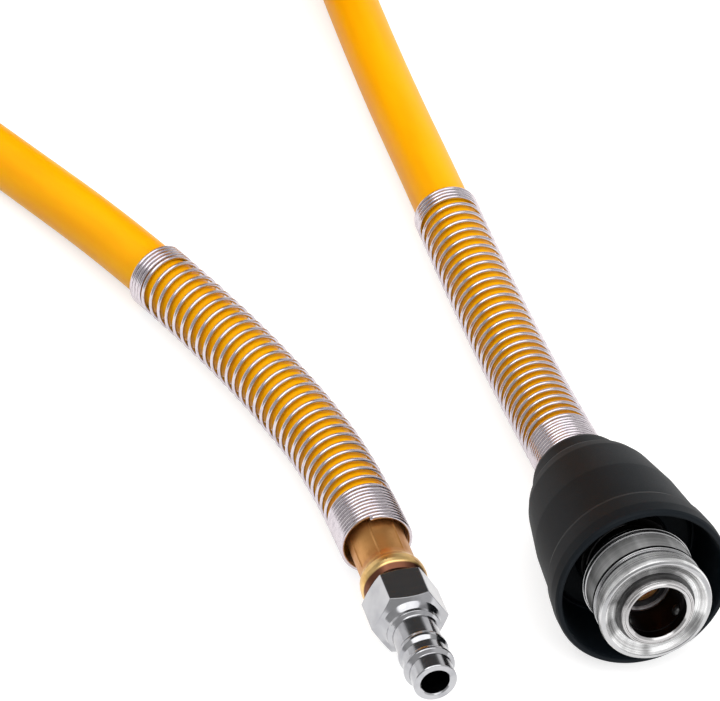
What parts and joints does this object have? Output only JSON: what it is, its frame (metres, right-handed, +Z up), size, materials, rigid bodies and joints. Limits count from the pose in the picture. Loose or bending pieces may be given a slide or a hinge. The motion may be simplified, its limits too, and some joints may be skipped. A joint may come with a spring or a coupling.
{
  "type": "coiled air hose",
  "caption": "Compressed-air hose put away in a coil, its ends in bend springs and crimped ferrules: a plug nipple on one, a quick coupler in a rubber boot on the other.",
  "frame": {"origin": "on the floor, under the middle of the box round the two hose ends with their springs and fittings", "axes": "+Z up; -Y the way both fittings point, away from the coil; +X to the right seen from the fittings' end"},
  "size_m": [0.1943, 0.3908, 0.156],
  "materials": {
    "hose": "satin orange-yellow hose",
    "spring_steel": "bright plated spring wire",
    "ferrule_brass": "bright brass",
    "plated_steel": "bright plated",
    "barrel_steel": "turned and plated",
    "ball_steel": "polished",
    "sleeve_nickel": "bright nickel",
    "inner_spring": "drawn wire",
    "inner_brass": "turned",
    "seal_rubber": "smooth",
    "washer_plastic": "plain",
    "boot_rubber": "matte black"
  },
  "bodies": {
    "hose_assembly": {"hose_coil": "hose", "hose_run_plug_end": "hose", "hose_run_coupler_end": "hose", "bend_spring_plug_end": "spring_steel", "bend_spring_coupler_end": "spring_steel", "ferrule_plug_end": "ferrule_brass", "ferrule_coupler_end": "ferrule_brass", "plug_nipple": "plated_steel", "coupler_barrel": "barrel_steel", "retaining_ring": "ball_steel", "sleeve_spring": "inner_spring", "plug_seal": "seal_rubber", "valve_seat": "inner_brass", "valve_spring": "inner_spring", "rear_adapter": "barrel_steel", "thread_seal": "washer_plastic", "coupler_boot": "boot_rubber"},
    "sleeve": {"locking_sleeve": "sleeve_nickel"},
    "ball_1": {"locking_ball_1": "ball_steel"},
    "ball_2": {"locking_ball_2": "ball_steel"},
    "ball_3": {"locking_ball_3": "ball_steel"},
    "valve": {"valve_poppet": "inner_brass", "valve_seal": "seal_rubber"}
  },
  "joints": [
    {"name": "sleeve_slide", "type": "slide", "parent": "hose_assembly", "child": "sleeve", "axis": [-0.2499, 0.9532, -0.1702], "range_m": [0, 0.005], "stiffness_N_per_m": 1800, "springref_m": -0.002, "deforming": ["sleeve_spring"]},
    {"name": "ball_1_slide", "type": "slide", "parent": "hose_assembly", "child": "ball_1", "axis": [-0.0432, 0.1646, 0.9854], "range_m": [0, 0.0005]},
    {"name": "ball_2_slide", "type": "slide", "parent": "hose_assembly", "child": "ball_2", "axis": [0.8593, 0.1373, -0.4927], "range_m": [0, 0.0005]},
    {"name": "ball_3_slide", "type": "slide", "parent": "hose_assembly", "child": "ball_3", "axis": [-0.8161, -0.302, -0.4927], "range_m": [0, 0.0005]},
    {"name": "valve_slide", "type": "slide", "parent": "hose_assembly", "child": "valve", "axis": [-0.2499, 0.9532, -0.1702], "range_m": [0, 0.0035], "stiffness_N_per_m": 1200, "springref_m": -0.002, "deforming": ["valve_spring"]}
  ],
  "couplings": [
    {"joint": "ball_1_slide", "follows": "sleeve_slide", "ratio": 0.1},
    {"joint": "ball_2_slide", "follows": "sleeve_slide", "ratio": 0.1},
    {"joint": "ball_3_slide", "follows": "sleeve_slide", "ratio": 0.1}
  ]
}
